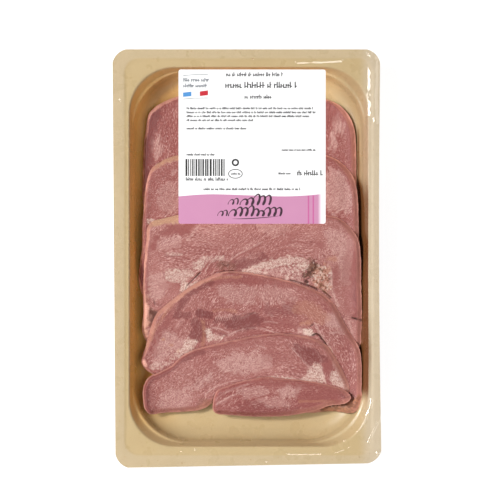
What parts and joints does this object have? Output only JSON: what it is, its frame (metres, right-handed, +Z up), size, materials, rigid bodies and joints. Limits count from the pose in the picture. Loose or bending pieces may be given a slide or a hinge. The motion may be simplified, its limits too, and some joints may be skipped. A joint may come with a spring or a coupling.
{
  "type": "tray pack of sliced pork tongue",
  "caption": "Shallow thermoformed tray with a wide flange, holding overlapping slices of cooked pork tongue under a clear lid film with a paper label.",
  "frame": {"origin": "middle of the tray's outline, on the surface that the tray stands on", "axes": "+Z up through the film; +Y along the tray's length, towards the label and the lowest slice; +X across the tray"},
  "size_m": [0.166, 0.259, 0.0192],
  "materials": {
    "tray_plastic": "thermoformed sheet, satin gloss",
    "tongue_meat": "moist cut face of cooked meat with a pale skin",
    "clear_film": "clear gloss film, sealed to the flange",
    "label_paper": "coated white paper with a pink band"
  },
  "bodies": {
    "root": {"tray": "tray_plastic", "slice_1": "tongue_meat", "slice_2": "tongue_meat", "slice_3": "tongue_meat", "slice_4": "tongue_meat", "slice_5": "tongue_meat", "slice_6": "tongue_meat", "lid_film": "clear_film", "label": "label_paper"}
  },
  "joints": []
}
